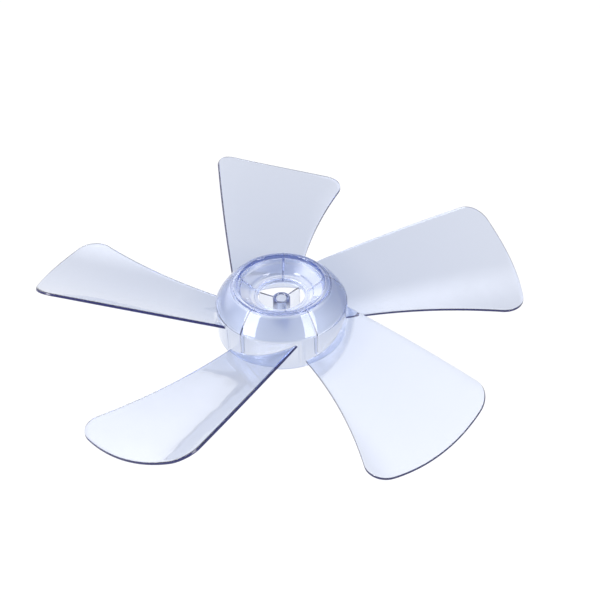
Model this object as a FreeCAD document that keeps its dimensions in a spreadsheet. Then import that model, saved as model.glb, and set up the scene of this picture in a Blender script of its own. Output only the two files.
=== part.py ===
import FreeCAD, Part
import math
import os
import re

import Sketcher

# A five-blade pedestal fan impeller, moulded in one piece: thin dished blades around an open, ribbed hub.
# The front of the fan is +Z. Sketch heights are measured from the rear edge of the hub's skirt,
# and the placement of the body then brings the rear mouth of the shaft bore to the origin.

# Driving dimensions in millimetres and degrees, each with what it measures.
SIZES = {
    "collar_radius": (17.3, "radius of the hole through the collar"),
    "collar_depth": (4.2, "depth of that hole below the nut seat"),
    "seat_width": (4.0, "width of the flat nut seat around the hole"),
    "gutter_width": (1.7, "width of the slope outside the seat"),
    "gutter_rise": (0.8, "rise of that slope"),
    "step_taper": (0.6, "lean of the step in the recess floor"),
    "step_rise": (1.2, "height of that step"),
    "floor_width": (6.6, "width of the sloping recess floor"),
    "floor_rise": (3.4, "rise of that floor"),
    "recess_taper": (1.8, "lean of the recess wall"),
    "recess_depth": (5.0, "depth of the recess wall below the rim"),
    "rim_width": (3.0, "width of the rim's flat lip"),
    "rim_lip": (2.4, "height of the rim above the shoulder"),
    "rim_chamfer": (0.7, "chamfer of the rim's edges"),
    "ledge_width": (1.7, "width of the ledge between rim and shoulder"),
    "shoulder_width": (11.0, "width of the shoulder in plan"),
    "shoulder_rise": (14.4, "height of the shoulder above the skirt"),
    "shoulder_curve": (42.0, "radius of the shoulder's convex section"),
    "crease_round": (1.2, "rounding of the crease between skirt and shoulder"),
    "skirt_height": (25.2, "height of the skirt up to the crease"),
    "skirt_draft": (0.7, "how much narrower the skirt is at its rear edge"),
    "wall": (2.2, "wall of the hub shell"),
    "boss_radius": (6.25, "outer radius of the shaft boss"),
    "boss_drop": (3.4, "depth of the boss's front end below the nut seat"),
    "boss_recess": (8.0, "height of the boss's rear end"),
    "bore_radius": (4.05, "radius of the shaft bore, for an 8 mm shaft"),
    "bore_chamfer": (0.6, "chamfer at the front of the bore"),
    "pin_slot_width": (2.8, "width of the slot for the shaft's 2.5 mm cross pin"),
    "pin_slot_depth": (5.0, "depth of the slot from the boss's rear end"),
    "fin_count": (3, "fins between the boss and the collar"),
    "fin_angle": (29.0, "direction of the first fin"),
    "fin_thickness": (1.2, "thickness of a fin"),
    "fin_inset": (0.3, "how far a fin's free edge stays inside the collar hole"),
    "fin_lift": (2.5, "height of a fin's rear edge above the boss's rear end"),
    "fin_drop": (1.0, "depth of a fin's front edge below the boss's front end"),
    "rib_count": (5, "ribs under the shoulder and the recess floor"),
    "rib_angle": (4.0, "direction of the first rib"),
    "rib_thickness": (1.2, "thickness of a rib"),
    "rib_foot": (7.0, "height of a rib's foot on the skirt"),
    "rib_depth": (2.5, "how far a rib stands in from the skirt"),
    "rib_lift": (0.5, "height of a rib's rear edge above the collar's rear end"),
    "blade_count": (5, "blades"),
    "blade_thickness": (2.0, "thickness of a blade"),
    "blade_level": (11.8, "height of a blade's middle line"),
    "blade_middle": (20.0, "distance of a blade's middle line from the radius it is drawn along"),
    "root_pitch": (24.8, "pitch of the blade section through the axis"),
    "root_camber": (148.0, "radius of that section's hollow"),
    "waist_pitch": (17.1, "pitch of the blade section halfway out"),
    "waist_camber": (145.0, "radius of that section's hollow"),
    "tip_pitch": (13.9, "pitch of the blade section at the tip"),
    "tip_camber": (193.0, "radius of that section's hollow"),
    "trailing_root_angle": (58.8, "where the trailing edge leaves the hub"),
    "leading_root_angle": (-8.4, "where the leading edge leaves the hub"),
    "trailing_tip_angle": (23.5, "direction of the trailing tip corner"),
    "trailing_tip_radius": (179.9, "radius of the trailing tip corner"),
    "leading_tip_angle": (-10.2, "direction of the leading tip corner"),
    "leading_tip_radius": (177.5, "radius of the leading tip corner"),
    "trailing_edge_curve": (2270.0, "radius of the nearly straight trailing edge"),
    "leading_edge_curve": (372.0, "radius of the hollow leading edge"),
    "tip_edge_curve": (133.0, "radius of the tip edge"),
    "leading_corner_round": (15.0, "rounding of the leading tip corner in plan"),
    "trailing_corner_round": (17.5, "rounding of the trailing tip corner in plan"),
    "blade_chamfer": (0.5, "chamfer of the blade's edges"),
    "trim_margin": (8.0, "how far the lofted sheet stands past the blade's outline"),
    "ridge_angle": (59.6, "direction of the mould's closing ridge on the skirt"),
    "ridge_width": (0.6, "width of that ridge"),
    "ridge_proud": (0.2, "how far that ridge stands out of the skirt"),
    "ridge_margin": (3.8, "distance of the ridge's ends from the skirt's rear edge and crease"),
}

# Radii of the hub's section add up from the collar outwards, and its heights from the skirt's rear edge.
SEAT_RADIUS = "collar_radius + seat_width"
GUTTER_RADIUS = f"{SEAT_RADIUS} + gutter_width"
STEP_RADIUS = f"{GUTTER_RADIUS} + step_taper"
FLOOR_RADIUS = f"{STEP_RADIUS} + floor_width"
LIP_RADIUS = f"{FLOOR_RADIUS} + recess_taper"
RIM_RADIUS = f"{LIP_RADIUS} + rim_width"
SHOULDER_RADIUS = f"{RIM_RADIUS} + ledge_width"
HUB_RADIUS = f"{SHOULDER_RADIUS} + shoulder_width"
FOOT_RADIUS = f"{HUB_RADIUS} - skirt_draft"
SHOULDER_HEIGHT = "skirt_height + shoulder_rise"
RIM_HEIGHT = f"{SHOULDER_HEIGHT} + rim_lip"
FLOOR_HEIGHT = f"{RIM_HEIGHT} - recess_depth"
STEP_HEIGHT = f"{FLOOR_HEIGHT} - floor_rise"
GUTTER_HEIGHT = f"{STEP_HEIGHT} - step_rise"
SEAT_HEIGHT = f"{GUTTER_HEIGHT} - gutter_rise"
COLLAR_REAR = f"{SEAT_HEIGHT} - collar_depth"
BOSS_FRONT = f"{SEAT_HEIGHT} - boss_drop"

# A plate ends halfway into the wall that carries it, so that the two melt into one.
SUNK = "wall / 2"
BOSS_MIDDLE = "(boss_radius + bore_radius) / 2"

doc = FreeCAD.newDocument("fan_blade")
sheet = doc.addObject("Spreadsheet::Sheet", "sizes")
for row, (name, (value, note)) in enumerate(SIZES.items(), start=1):
    sheet.set(f"A{row}", note)
    sheet.set(f"B{row}", str(value))
    sheet.setAlias(f"B{row}", name)
doc.recompute()


def new_body(name):
    made = doc.addObject("PartDesign::Body", name)
    made.Label = name
    return made


def bound(text):
    """The expression with every size name led by its sheet."""
    return re.sub(r"[a-z_]+", lambda word: f"sizes.{word[0]}" if word[0] in SIZES else word[0], text)


def origin(role):
    return next(feature for feature in body.Origin.OriginFeatures if feature.Role == role)


def new_sketch(name, role, turn=None, shift=None):
    """A sketch on an origin plane, turned about the fan's axis or shifted along its normal."""
    sketch = body.newObject("Sketcher::SketchObject", name)
    sketch.AttachmentSupport = [(origin(role), "")]
    sketch.MapMode = "FlatFace"
    if turn:
        about_axis = FreeCAD.Rotation(FreeCAD.Vector(0, 1, 0), 1)
        sketch.AttachmentOffset = FreeCAD.Placement(FreeCAD.Vector(), about_axis)
        sketch.setExpression("AttachmentOffset.Rotation.Angle", bound(turn))
    if shift:
        sketch.setExpression("AttachmentOffset.Base.z", bound(shift))
    return sketch


def number(sketch, text):
    return float(sketch.evalExpression(bound(text)))


def drive(sketch, kind, *place, by):
    """A dimension of the sketch that follows an expression."""
    index = sketch.addConstraint(Sketcher.Constraint(kind, *place, number(sketch, by)))
    sketch.setExpression(f"Constraints[{index}]", bound(by))


def pin(sketch, edge, end, across, up):
    """Holds one end of an edge at a place given by two expressions, or leaves one free where it is None."""
    for kind, axis, text in (("DistanceX", -2, across), ("DistanceY", -1, up)):
        if text == "0":
            tie(sketch, "PointOnObject", edge, end, axis)
        elif text:
            drive(sketch, kind, -1, 1, edge, end, by=text)


def arc_between(start, end, radius, hollow=False):
    """The circle of an arc from start to end that bulges to the right, or to the left where hollow."""
    chord = end - start
    left = FreeCAD.Vector(-chord.y, chord.x, 0).normalize()
    reach = math.sqrt(radius ** 2 - (chord.Length / 2) ** 2)
    centre = (start + end) / 2 + left * (-reach if hollow else reach)
    return Part.Circle(centre, FreeCAD.Vector(0, 0, 1), radius)


def add_arc(sketch, circle, start, end):
    """The stretch of a circle from start counter-clockwise to end."""
    return sketch.addGeometry(Part.ArcOfCircle(circle, circle.parameter(start), circle.parameter(end)))


def spot(sketch, place):
    return FreeCAD.Vector(*(number(sketch, text) for text in place))


def tie(sketch, kind, *place):
    sketch.addConstraint(Sketcher.Constraint(kind, *place))


def draw_loop(sketch, corners, arcs=None):
    """Draws a closed outline counter-clockwise through corners given by expressions.

    arcs gives the edges that are arcs, by their first corner: their radius and whether they are hollow.
    """
    arcs = arcs or {}
    points = [spot(sketch, corner) for corner in corners]
    edges = []
    for i, start in enumerate(points):
        end = points[(i + 1) % len(points)]
        if i not in arcs:
            edges.append((sketch.addGeometry(Part.LineSegment(start, end)), 1, 2))
            continue
        radius, hollow = arcs[i]
        circle = arc_between(start, end, number(sketch, radius), hollow)
        if hollow:
            edges.append((add_arc(sketch, circle, end, start), 2, 1))
        else:
            edges.append((add_arc(sketch, circle, start, end), 1, 2))
    for i, (edge, first, last) in enumerate(edges):
        following, following_first, _ = edges[(i + 1) % len(edges)]
        tie(sketch, "Coincident", edge, last, following, following_first)
        pin(sketch, edge, first, *corners[i])
        if i in arcs:
            drive(sketch, "Radius", edge, by=arcs[i][0])


def draw_circle(sketch, radius):
    edge = sketch.addGeometry(Part.Circle(FreeCAD.Vector(), FreeCAD.Vector(0, 0, 1), number(sketch, radius)))
    tie(sketch, "Coincident", edge, 3, -1, 1)
    drive(sketch, "Radius", edge, by=radius)


def plate(kind, name, sketch, thickness):
    """A radial plate, or a slot, of the sketch's outline, centred on the sketch."""
    feature = body.newObject(kind, name)
    feature.Profile = sketch
    feature.SideType = "Symmetric"
    feature.setExpression("Length", bound(thickness))
    return feature


def ring_of(name, feature, count):
    """Copies of a feature, or of the whole shape where it is None, evenly around the fan's axis."""
    pattern = body.newObject("PartDesign::PolarPattern", name)
    if feature:
        pattern.Originals = [feature]
    else:
        pattern.TransformMode = "Whole shape"
    pattern.Axis = (origin("Z_Axis"), [""])
    pattern.Angle = 360
    pattern.setExpression("Occurrences", bound(count))
    body.Tip = pattern
    doc.recompute()
    return pattern


def dressed(kind, name, size, wanted):
    """Rounds or chamfers the edges of the body so far that wanted picks out."""
    base = body.Tip
    feature = body.newObject(kind, name)
    feature.Base = (base, [f"Edge{i}" for i, edge in enumerate(base.Shape.Edges, start=1) if wanted(edge)])
    feature.setExpression("Size" if kind.endswith("Chamfer") else "Radius", bound(size))
    doc.recompute()


def polar(radius, angle):
    return f"({radius}) * cos({angle})", f"({radius}) * sin({angle})"


# The blades are a body of their own until the hub takes them in.
body = blades = new_body("blades")

# A blade starts as a sheet lofted through three hollow sections, wider than the blade on all sides.
SHEET_LOW = "leading_tip_radius * sin(leading_tip_angle) - trim_margin"
SHEET_HIGH = "trailing_tip_radius * sin(trailing_tip_angle) + trim_margin"
SHEET_END = "max(trailing_tip_radius; leading_tip_radius) + trim_margin"


def blade_section(name, station, pitch, camber):
    """A band between two concentric arcs, hollow to the front, through the blade's middle line."""
    sketch = new_sketch(name, "YZ_Plane", shift=station)
    centre = (f"blade_middle - {camber} * sin({pitch})", f"blade_level + {camber} * cos({pitch})")
    middle = FreeCAD.Vector(*(number(sketch, text) for text in centre))
    low, high = number(sketch, SHEET_LOW), number(sketch, SHEET_HIGH)
    rings = []
    for side in ("+", "-"):
        radius = f"{camber} {side} blade_thickness / 2"
        circle = Part.Circle(middle, FreeCAD.Vector(0, 0, 1), number(sketch, radius))
        angles = [-math.acos((y - middle.x) / circle.Radius) for y in (low, high)]
        arc = sketch.addGeometry(Part.ArcOfCircle(circle, *angles))
        drive(sketch, "Radius", arc, by=radius)
        pin(sketch, arc, 1, SHEET_LOW, None)
        pin(sketch, arc, 2, SHEET_HIGH, None)
        rings.append(arc)
    rear, front = rings
    pin(sketch, rear, 3, *centre)
    tie(sketch, "Coincident", front, 3, rear, 3)
    for end in (1, 2):
        points = (sketch.getPoint(rear, end), sketch.getPoint(front, end))
        line = sketch.addGeometry(Part.LineSegment(*points))
        tie(sketch, "Coincident", line, 1, rear, end)
        tie(sketch, "Coincident", line, 2, front, end)
    return sketch


sections = [
    blade_section("root_section", None, "root_pitch", "root_camber"),
    blade_section("waist_section", f"({SHEET_END}) / 2", "waist_pitch", "waist_camber"),
    blade_section("tip_section", SHEET_END, "tip_pitch", "tip_camber"),
]
doc.recompute()
blade_sheet = body.newObject("PartDesign::AdditiveLoft", "blade_sheet")
blade_sheet.Profile = sections[0]
blade_sheet.Sections = sections[1:]
doc.recompute()

# The sheet is trimmed to the blade's outline in plan. Its root ends inside the skirt's wall.
ROOT_RADIUS = f"{FOOT_RADIUS} - wall / 3"


def corner_circle(edge, tip, corner, radius, hollow=False):
    """The circle that rounds a blade's corner, inside the tip's circle and beside the edge's."""
    beside_edge = Part.Circle(edge.Center, edge.Axis, edge.Radius + (radius if hollow else -radius))
    inside_tip = Part.Circle(tip.Center, tip.Axis, tip.Radius - radius)
    centres = [FreeCAD.Vector(point.X, point.Y, 0) for point in beside_edge.intersect(inside_tip)]
    return Part.Circle(min(centres, key=corner.distanceToPoint), edge.Axis, radius)


def draw_blade(sketch):
    """The outline of a blade: leading edge, tip and trailing edge, joined by round corners, and the root."""
    leading_root = polar(ROOT_RADIUS, "leading_root_angle")
    leading_tip = polar("leading_tip_radius", "leading_tip_angle")
    trailing_tip = polar("trailing_tip_radius", "trailing_tip_angle")
    trailing_root = polar(ROOT_RADIUS, "trailing_root_angle")
    a, b, c, d = (spot(sketch, place) for place in (leading_root, leading_tip, trailing_tip, trailing_root))
    leading = arc_between(a, b, number(sketch, "leading_edge_curve"), hollow=True)
    tip = arc_between(b, c, number(sketch, "tip_edge_curve"))
    trailing = arc_between(c, d, number(sketch, "trailing_edge_curve"))
    root = Part.Circle(FreeCAD.Vector(), FreeCAD.Vector(0, 0, 1), number(sketch, ROOT_RADIUS))

    first = corner_circle(leading, tip, b, number(sketch, "leading_corner_round"), hollow=True)
    second = corner_circle(trailing, tip, c, number(sketch, "trailing_corner_round"))

    def touch(circle, small):
        """Where a corner's circle touches an edge's circle."""
        way = small.Center - circle.Center
        return circle.Center + way.normalize() * circle.Radius

    points = [touch(leading, first), touch(tip, first), touch(tip, second), touch(trailing, second)]
    edges = [
        add_arc(sketch, leading, points[0], a),
        add_arc(sketch, first, points[0], points[1]),
        add_arc(sketch, tip, points[1], points[2]),
        add_arc(sketch, second, points[2], points[3]),
        add_arc(sketch, trailing, points[3], d),
        add_arc(sketch, root, a, d),
    ]
    lead_edge, lead_corner, tip_edge, trail_corner, trail_edge, root_edge = edges
    tie(sketch, "Tangent", lead_edge, 1, lead_corner, 1)
    tie(sketch, "Tangent", lead_corner, 2, tip_edge, 1)
    tie(sketch, "Tangent", tip_edge, 2, trail_corner, 1)
    tie(sketch, "Tangent", trail_corner, 2, trail_edge, 1)
    tie(sketch, "Coincident", trail_edge, 2, root_edge, 2)
    tie(sketch, "Coincident", root_edge, 1, lead_edge, 2)
    tie(sketch, "Coincident", root_edge, 3, -1, 1)
    pin(sketch, lead_edge, 2, *leading_root)
    pin(sketch, trail_edge, 2, None, trailing_root[1])
    corners = (leading_tip, b, (lead_edge, tip_edge)), (trailing_tip, c, (tip_edge, trail_edge))
    for place, near, sides in corners:
        mark = sketch.addGeometry(Part.Point(near), True)
        pin(sketch, mark, 1, *place)
        for side in sides:
            tie(sketch, "PointOnObject", mark, 1, side)
    drive(sketch, "Radius", lead_edge, by="leading_edge_curve")
    drive(sketch, "Radius", tip_edge, by="tip_edge_curve")
    drive(sketch, "Radius", trail_edge, by="trailing_edge_curve")
    drive(sketch, "Radius", lead_corner, by="leading_corner_round")
    drive(sketch, "Radius", trail_corner, by="trailing_corner_round")


outline = new_sketch("blade_outline", "XY_Plane")
draw_blade(outline)
draw_circle(outline, f"2 * ({SHEET_END})")
blade_trim = body.newObject("PartDesign::Pocket", "blade_trim")
blade_trim.Profile = outline
blade_trim.Type = "ThroughAll"
blade_trim.SideType = "Symmetric"
doc.recompute()


def is_upright(edge):
    """A straight edge along the fan's axis."""
    return abs(edge.tangentAt(edge.FirstParameter).z) > 0.999


def is_root(edge):
    """An edge of the blade's hidden end, inside the skirt's wall."""
    radius = number(sheet, ROOT_RADIUS)
    return all(abs(math.hypot(vertex.X, vertex.Y) - radius) < 1e-3 for vertex in edge.Vertexes)


dressed("PartDesign::Chamfer", "blade_edges", "min(blade_chamfer; 0.4 * blade_thickness)",
        lambda edge: not is_upright(edge) and not is_root(edge))
one_blade = body.Tip.Shape.Volume
ring_of("blade_ring", None, "blade_count")

# The hub shell: skirt, shoulder, rim, stepped nut recess and collar in one section turned about the axis.
body = new_body("fan_blade")
shell = new_sketch("hub_section", "XZ_Plane")
draw_loop(
    shell,
    [
        (FOOT_RADIUS, "0"),
        (HUB_RADIUS, "skirt_height"),
        (SHOULDER_RADIUS, SHOULDER_HEIGHT),
        (RIM_RADIUS, SHOULDER_HEIGHT),
        (RIM_RADIUS, RIM_HEIGHT),
        (LIP_RADIUS, RIM_HEIGHT),
        (FLOOR_RADIUS, FLOOR_HEIGHT),
        (STEP_RADIUS, STEP_HEIGHT),
        (GUTTER_RADIUS, GUTTER_HEIGHT),
        (SEAT_RADIUS, SEAT_HEIGHT),
        ("collar_radius", SEAT_HEIGHT),
        ("collar_radius", COLLAR_REAR),
        ("collar_radius + wall", COLLAR_REAR),
        ("collar_radius + wall", f"{SEAT_HEIGHT} - wall"),
        (SEAT_RADIUS, f"{SEAT_HEIGHT} - wall"),
        (STEP_RADIUS, f"{GUTTER_HEIGHT} - wall"),
        (FLOOR_RADIUS, f"{FLOOR_HEIGHT} - wall"),
        (LIP_RADIUS, f"{SHOULDER_HEIGHT} - {SUNK}"),
        (f"{SHOULDER_RADIUS} - wall", f"{SHOULDER_HEIGHT} - wall"),
        (f"{HUB_RADIUS} - wall", f"skirt_height - {SUNK}"),
        (f"{FOOT_RADIUS} - wall", "0"),
    ],
    arcs={1: ("shoulder_curve", False), 18: ("shoulder_curve - wall", True)},
)
hub_shell = body.newObject("PartDesign::Revolution", "hub_shell")
hub_shell.Profile = shell
hub_shell.ReferenceAxis = (origin("Z_Axis"), [""])
hub_shell.Angle = 360
doc.recompute()


def circle_at(radius, height):
    """Picks out a full circle about the axis by its radius and height."""
    radius, height = number(sheet, radius), number(sheet, height)

    def wanted(edge):
        curve = edge.Curve
        if not isinstance(curve, Part.Circle):
            return False
        return abs(curve.Radius - radius) < 1e-4 and abs(curve.Center.z - height) < 1e-4
    return wanted


dressed("PartDesign::Fillet", "crease", "crease_round", circle_at(HUB_RADIUS, "skirt_height"))
dressed("PartDesign::Chamfer", "rim_outer_edge", "rim_chamfer", circle_at(RIM_RADIUS, RIM_HEIGHT))
dressed("PartDesign::Chamfer", "rim_inner_edge", "rim_chamfer", circle_at(LIP_RADIUS, RIM_HEIGHT))

# The boss, with its fins, hangs in the collar.
boss_outline = new_sketch("boss_outline", "XY_Plane", shift="boss_recess")
draw_circle(boss_outline, "boss_radius")
boss = body.newObject("PartDesign::Pad", "boss")
boss.Profile = boss_outline
boss.setExpression("Length", bound(f"{BOSS_FRONT} - boss_recess"))
doc.recompute()

fin_outline = new_sketch("fin_outline", "XZ_Plane", turn="fin_angle")
draw_loop(
    fin_outline,
    [
        (BOSS_MIDDLE, "boss_recess + fin_lift"),
        ("collar_radius - fin_inset", "boss_recess + fin_lift"),
        ("collar_radius - fin_inset", f"{COLLAR_REAR} - {SUNK}"),
        (f"collar_radius + {SUNK}", COLLAR_REAR),
        (f"collar_radius + {SUNK}", f"{COLLAR_REAR} + {SUNK}"),
        (BOSS_MIDDLE, f"{BOSS_FRONT} - fin_drop"),
    ],
)
ring_of("fins", plate("PartDesign::Pad", "fin", fin_outline, "fin_thickness"), "fin_count")

# The ribs run under the recess floor and the shoulder, from the collar outwards, and down the skirt.
RIB_INSIDE = f"{FOOT_RADIUS} - wall - rib_depth"
RIB_REAR = f"{COLLAR_REAR} + rib_lift"
rib_outline = new_sketch("rib_outline", "XZ_Plane", turn="rib_angle")
draw_loop(
    rib_outline,
    [
        (f"collar_radius + {SUNK}", RIB_REAR),
        (RIB_INSIDE, RIB_REAR),
        (RIB_INSIDE, "rib_foot"),
        (f"{FOOT_RADIUS} - {SUNK}", "rib_foot"),
        (f"{HUB_RADIUS} - {SUNK}", f"skirt_height - {SUNK} / 2"),
        (f"{SHOULDER_RADIUS} - {SUNK}", f"{SHOULDER_HEIGHT} - {SUNK}"),
        (LIP_RADIUS, SHOULDER_HEIGHT),
        (FLOOR_RADIUS, f"{FLOOR_HEIGHT} - {SUNK}"),
        (STEP_RADIUS, f"{GUTTER_HEIGHT} - {SUNK}"),
        (f"collar_radius + {SUNK}", f"{SEAT_HEIGHT} - {SUNK}"),
    ],
)
ring_of("ribs", plate("PartDesign::Pad", "rib", rib_outline, "rib_thickness"), "rib_count")

# Where the halves of the mould close between two blades, a fine ridge runs down the skirt.
RIDGE_DRAFT = "skirt_draft * ridge_margin / skirt_height"
RIDGE_FRONT = "skirt_height - ridge_margin"
ridge_outline = new_sketch("ridge_outline", "XZ_Plane", turn="ridge_angle")
draw_loop(
    ridge_outline,
    [
        (f"{FOOT_RADIUS} - {SUNK}", "ridge_margin"),
        (f"{FOOT_RADIUS} + {RIDGE_DRAFT} + ridge_proud", "ridge_margin"),
        (f"{HUB_RADIUS} - {RIDGE_DRAFT} + ridge_proud", RIDGE_FRONT),
        (f"{FOOT_RADIUS} - {SUNK}", RIDGE_FRONT),
    ],
)
ring_of("ridges", plate("PartDesign::Pad", "ridge", ridge_outline, "ridge_width"), "blade_count")

# The shaft bore runs through the boss, and a cross slot at its rear takes the shaft's pin.
before_bore = body.Tip.Shape.Volume
bore_outline = new_sketch("bore_outline", "XY_Plane", shift="boss_recess")
draw_circle(bore_outline, "bore_radius")
bore = body.newObject("PartDesign::Pocket", "bore")
bore.Profile = bore_outline
bore.Type = "ThroughAll"
bore.Reversed = True
doc.recompute()

slot_outline = new_sketch("pin_slot_outline", "XZ_Plane", turn="fin_angle + 90")
draw_loop(
    slot_outline,
    [
        ("-boss_radius - wall", "boss_recess - wall"),
        ("boss_radius + wall", "boss_recess - wall"),
        ("boss_radius + wall", "boss_recess + pin_slot_depth"),
        ("-boss_radius - wall", "boss_recess + pin_slot_depth"),
    ],
)
plate("PartDesign::Pocket", "pin_slot", slot_outline, "pin_slot_width")
doc.recompute()
after_bore = body.Tip.Shape.Volume

dressed("PartDesign::Chamfer", "bore_mouth", "bore_chamfer", circle_at("bore_radius", BOSS_FRONT))

# The blades join the hub, and the whole fan moves back by the boss's recess.
joined = body.newObject("PartDesign::Boolean", "blades_on_hub")
joined.Type = "Fuse"
joined.setObjects([blades])
body.setExpression("Placement.Base.z", bound("-boss_recess"))
doc.recompute()

for item in doc.Objects:
    if "Invalid" in item.State or "Error" in item.State:
        raise RuntimeError(f"{item.Label} failed: {item.State}")
shape = body.Shape
if shape.isNull() or not shape.isValid() or len(shape.Solids) != 1:
    raise RuntimeError(f"{body.Label} isn't one valid solid")
if after_bore >= before_bore:
    raise RuntimeError("the bore and the slot cut nothing")

os.makedirs("parts", exist_ok=True)
shape.exportStep(f"parts/{body.Label}.step")
print(f"{body.Label}: {shape.Volume:.0f} mm3, of which one blade {one_blade:.0f} mm3")
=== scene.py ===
# %% [markdown]
# # A clear fan blade, from sections to studio light
#
# The object is the blade wheel of a pedestal fan: five thin dished blades around an open, ribbed hub,
# moulded in one shot from a clear plastic with a breath of blue. Everything that is seen of it comes
# from how light goes in, bends, is tinted and comes out again, so the mesh has to be one closed skin
# with true thickness. This lesson models that skin from a few sizes, joins it, gives it the plastic
# and sets it on a white table.

# %% The frame
import math

import bmesh
import bpy
from mathutils import Matrix, Vector
from mathutils.geometry import delaunay_2d_cdt


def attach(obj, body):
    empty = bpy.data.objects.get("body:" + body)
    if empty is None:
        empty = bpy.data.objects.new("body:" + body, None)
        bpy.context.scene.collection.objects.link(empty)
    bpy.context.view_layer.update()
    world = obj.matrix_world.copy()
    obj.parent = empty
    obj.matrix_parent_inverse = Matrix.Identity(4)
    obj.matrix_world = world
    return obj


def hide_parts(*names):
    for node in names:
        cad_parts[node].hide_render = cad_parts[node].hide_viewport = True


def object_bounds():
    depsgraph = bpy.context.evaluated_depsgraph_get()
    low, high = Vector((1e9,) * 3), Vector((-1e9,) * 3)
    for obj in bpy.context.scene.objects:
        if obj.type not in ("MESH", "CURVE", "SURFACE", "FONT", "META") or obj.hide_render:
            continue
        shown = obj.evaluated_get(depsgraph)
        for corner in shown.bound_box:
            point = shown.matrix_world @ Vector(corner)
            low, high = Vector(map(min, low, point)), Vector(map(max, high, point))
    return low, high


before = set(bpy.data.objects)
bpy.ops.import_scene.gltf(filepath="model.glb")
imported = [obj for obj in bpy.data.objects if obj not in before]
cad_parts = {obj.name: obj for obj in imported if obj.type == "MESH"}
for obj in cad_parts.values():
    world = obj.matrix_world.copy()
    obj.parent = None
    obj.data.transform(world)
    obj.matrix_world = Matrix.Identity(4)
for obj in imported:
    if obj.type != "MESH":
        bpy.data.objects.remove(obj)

CAD_LOW, CAD_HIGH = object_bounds()
FOOT = CAD_LOW.z
print("CAD box", [round(side, 4) for side in CAD_HIGH - CAD_LOW])

# %% [markdown]
# ## Millimetres, and heights from the foot
#
# A moulder's drawing is in millimetres and starts at the face that the part stands on. Blender works in
# metres, and the frame has its zero at the shaft's mouth. The meshes could be scaled and moved once they
# are made. Here one function takes the drawing's numbers to the frame instead, and every point below goes
# through it, so a mesh is right as soon as it is made.

# %% From the drawing to the frame
MM = 0.001


def placed(x, y, height):
    """A point of the drawing, in millimetres, as a place in the frame."""
    return Vector((x * MM, y * MM, FOOT + height * MM))


def turned(point, angle):
    """A plan point turned about the shaft by an angle in radians."""
    x, y = point
    return x * math.cos(angle) - y * math.sin(angle), x * math.sin(angle) + y * math.cos(angle)


print("the shaft's mouth lies", round(-FOOT / MM, 2), "mm above the foot")

# %% [markdown]
# ## Points that carry a finish and painted light
#
# The part is one piece of plastic, yet it changes from place to place: some walls are polished and some
# frosted, the colour is deeper here and paler there, partly the plastic's own and partly painted shade and
# light, and edges look dark, where shade is painted for light that a renderer would not follow. Several
# materials could do it, but a ray that goes in through one and out through another makes the renderer lose
# count of the plastic between. So there is one material, and each point carries four shares that it reads,
# from 0 to 1: edge, core, frost and tint. The joins further down keep them.

# %% Points and pieces
SHARES = ("edge", "core", "frost", "tint")


def blank():
    """An empty bmesh whose points carry the four shares."""
    bm = bmesh.new()
    for share in SHARES:
        bm.verts.layers.float.new(share)
    return bm


def add_point(bm, place, **shares):
    """A new point with its shares. A share that isn't given stays 0."""
    point = bm.verts.new(place)
    for share, value in shares.items():
        point[bm.verts.layers.float[share]] = value
    return point


def new_piece(name, bm):
    """A scene object from a bmesh, with its faces turned outwards."""
    bmesh.ops.recalc_face_normals(bm, faces=bm.faces[:])
    mesh = bpy.data.meshes.new(name)
    bm.to_mesh(mesh)
    bm.free()
    piece = bpy.data.objects.new(name, mesh)
    bpy.context.scene.collection.objects.link(piece)
    print(name, len(mesh.vertices), "vertices,", len(mesh.polygons), "faces")
    return piece


print("each point carries", ", ".join(SHARES))

# %% [markdown]
# ## The blade's outline
#
# In plan a blade is five arcs: a hollow leading edge, a nearly straight trailing edge, a bowed tip and
# two round corners. It could be drawn as a Bezier curve by eye, but arcs that touch keep every rounding
# even. The drawing gives the root's two ends, the tip's two corners as if they were sharp, and the radius
# of each arc.

# %% Ends and corners in plan
ROOT_RADIUS = 46.0
LEADING_ROOT_ANGLE = math.radians(-8.4)
TRAILING_ROOT_ANGLE = math.radians(58.8)
LEADING_TIP_RADIUS = 177.5
LEADING_TIP_ANGLE = math.radians(-10.2)
TRAILING_TIP_RADIUS = 179.9
TRAILING_TIP_ANGLE = math.radians(23.5)


def polar(radius, angle):
    """A plan point by its distance from the shaft and its direction."""
    return Vector((radius * math.cos(angle), radius * math.sin(angle)))


LEADING_ROOT = polar(ROOT_RADIUS, LEADING_ROOT_ANGLE)
TRAILING_ROOT = polar(ROOT_RADIUS, TRAILING_ROOT_ANGLE)
LEADING_TIP = polar(LEADING_TIP_RADIUS, LEADING_TIP_ANGLE)
TRAILING_TIP = polar(TRAILING_TIP_RADIUS, TRAILING_TIP_ANGLE)
print("the tip is", round((TRAILING_TIP - LEADING_TIP).length, 1), "mm wide")

# %% Centres of the three long arcs
LEADING_CURVE = 372.0
TRAILING_CURVE = 2270.0
TIP_CURVE = 133.0


def arc_centre(start, end, radius, hollow=False):
    """The centre of an arc that bulges to the right of the way, or to the left where it is hollow."""
    chord = end - start
    left = Vector((-chord.y, chord.x)).normalized()
    reach = math.sqrt(radius ** 2 - (chord.length / 2) ** 2)
    return (start + end) / 2 + left * (-reach if hollow else reach)


LEADING_CENTRE = arc_centre(LEADING_ROOT, LEADING_TIP, LEADING_CURVE, hollow=True)
TIP_CENTRE = arc_centre(LEADING_TIP, TRAILING_TIP, TIP_CURVE)
TRAILING_CENTRE = arc_centre(TRAILING_TIP, TRAILING_ROOT, TRAILING_CURVE)
print("the tip's arc is centred", round(TIP_CENTRE.length, 1), "mm from the shaft")

# %% [markdown]
# ## Round corners that touch both neighbours
#
# A corner's circle could be found by trial. It is also found exactly: it touches both of its neighbours,
# so its centre lies where their circles cross once both have been moved by the rounding. A circle moves
# outwards at the hollow edge, where the corner lies outside it, and inwards at the other two.

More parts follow.
